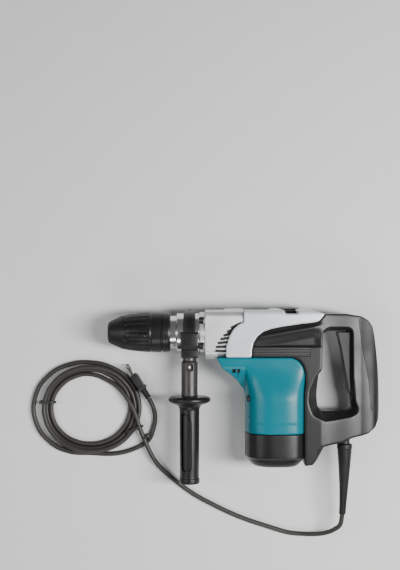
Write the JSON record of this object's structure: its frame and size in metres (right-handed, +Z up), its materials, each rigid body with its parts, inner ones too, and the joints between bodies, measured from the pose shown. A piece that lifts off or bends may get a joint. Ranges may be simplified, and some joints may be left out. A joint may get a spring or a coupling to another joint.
{
  "type": "rotary hammer",
  "caption": "Corded two-handed rotary hammer with a motor standing across the barrel, D handle, side handle, slotted-shank chuck and its mains lead in a coil.",
  "frame": {"origin": "middle of the tool's length and height, on the surface it lies on", "axes": "+X along the barrel from the nose to the handle, +Y towards the top of the tool, +Z up, out of the tool's left side"},
  "size_m": [0.6275, 0.4145, 0.114],
  "materials": {
    "cast": "as-cast aluminium, fine blasted grain",
    "silver": "satin silver paint",
    "teal": "moulded glass-filled nylon, light gloss",
    "black": "moulded black nylon, fine texture",
    "grey": "moulded dark grey nylon",
    "rubber": "soft black rubber",
    "cord": "dark rubber sheath, light bloom",
    "steel": "ground steel",
    "dark_steel": "blackened steel",
    "copper": "enamelled copper",
    "brass": "brass",
    "board": "circuit board",
    "plated": "bright nickel plating"
  },
  "bodies": {
    "housing": {"barrel_housing": "cast", "gear_housing": "cast", "crank_housing": "cast", "crank_cover": "silver", "bearing_plate": "cast", "motor_housing": "teal", "motor_end_cap": "black", "handle_left": "black", "handle_right": "black", "grip_pad": "rubber", "flange_bolt_1": "dark_steel", "flange_bolt_2": "dark_steel", "flange_bolt_3": "dark_steel", "flange_bolt_4": "dark_steel", "oil_seal": "rubber", "spindle_bearing_front": "steel", "spindle_bearing_rear": "steel", "cylinder": "steel", "armature_bearing_upper": "steel", "armature_bearing_lower": "steel", "stator_core": "dark_steel", "field_coil_left": "copper", "field_coil_right": "copper", "brush_holder_left": "brass", "brush_holder_right": "brass", "carbon_brush_left": "dark_steel", "carbon_brush_right": "dark_steel", "switch_body": "black", "control_board": "board", "cord_clamp": "black", "cord_guard": "rubber", "cord_lead": "cord", "cord_coil": "cord", "cord_tail": "cord", "plug_body": "rubber", "plug_blade_left": "plated", "plug_blade_right": "plated"},
    "spindle": {"tool_holder": "dark_steel", "nose_cap": "rubber", "lock_key_upper": "steel", "lock_key_lower": "steel", "sleeve_spring": "steel", "ring_gear": "steel"},
    "sleeve": {"release_sleeve": "black"},
    "impact_bolt": {"impact_bolt": "steel"},
    "striker": {"striker": "steel"},
    "piston": {"piston": "steel"},
    "connecting_rod": {"connecting_rod": "cast"},
    "crank": {"crankshaft": "steel"},
    "bevel_shaft": {"bevel_shaft": "steel"},
    "armature": {"armature_shaft": "steel", "armature_core": "dark_steel", "commutator": "copper", "cooling_fan": "grey"},
    "mode_knob": {"mode_knob": "black"},
    "trigger": {"trigger": "black"},
    "side_handle": {"clamp_band": "black", "clamp_base": "black", "handle_stem": "grey"},
    "side_grip": {"side_grip": "black"}
  },
  "joints": [
    {"name": "spindle_spin", "type": "hinge", "parent": "housing", "child": "spindle", "pos_m": [-0.005, 0.11275, 0.057], "axis": [1, 0, 0], "continuous": true},
    {"name": "bevel_shaft_spin", "type": "hinge", "parent": "housing", "child": "bevel_shaft", "pos_m": [0.01889, 0.07275, 0.057], "axis": [0, 1, 0], "continuous": true},
    {"name": "armature_spin", "type": "hinge", "parent": "housing", "child": "armature", "pos_m": [0.055, 0.07275, 0.057], "axis": [0, 1, 0], "continuous": true},
    {"name": "crank_spin", "type": "hinge", "parent": "housing", "child": "crank", "pos_m": [0.08239, 0.07275, 0.057], "axis": [0, 1, 0], "continuous": true},
    {"name": "sleeve_slide", "type": "slide", "parent": "spindle", "child": "sleeve", "axis": [1, 0, 0], "range_m": [0, 0.01], "stiffness_N_per_m": 1500, "springref_m": -0.005, "deforming": ["sleeve_spring"]},
    {"name": "impact_bolt_slide", "type": "slide", "parent": "spindle", "child": "impact_bolt", "axis": [1, 0, 0], "range_m": [-0.007, 0]},
    {"name": "striker_slide", "type": "slide", "parent": "housing", "child": "striker", "axis": [1, 0, 0], "range_m": [-0.008, 0.01]},
    {"name": "piston_slide", "type": "slide", "parent": "housing", "child": "piston", "axis": [1, 0, 0], "range_m": [0, 0.028]},
    {"name": "connecting_rod_swing", "type": "hinge", "parent": "piston", "child": "connecting_rod", "pos_m": [-0.00161, 0.11275, 0.057], "axis": [0, 1, 0], "range_deg": [-11.5, 11.5]},
    {"name": "mode_knob_turn", "type": "hinge", "parent": "housing", "child": "mode_knob", "pos_m": [0.0829, 0.14275, 0.057], "axis": [0, 1, 0], "range_deg": [0, 90]},
    {"name": "trigger_pull", "type": "hinge", "parent": "housing", "child": "trigger", "pos_m": [0.1915, 0.00875, 0.057], "axis": [0, 0, -1], "range_deg": [0, 4], "stiffness_Nm_per_rad": 6, "springref_deg": -4.58},
    {"name": "side_handle_swivel", "type": "hinge", "parent": "housing", "child": "side_handle", "pos_m": [-0.0951, 0.11275, 0.057], "axis": [1, 0, 0], "continuous": true},
    {"name": "side_grip_twist", "type": "hinge", "parent": "side_handle", "child": "side_grip", "pos_m": [-0.0951, -0.03725, 0.057], "axis": [0, 1, 0], "range_deg": [0, 360]}
  ],
  "couplings": [
    {"joint": "bevel_shaft_spin", "follows": "spindle_spin", "ratio": -3.75},
    {"joint": "armature_spin", "follows": "spindle_spin", "ratio": 23.438},
    {"joint": "crank_spin", "follows": "spindle_spin", "ratio": -5.2083}
  ]
}
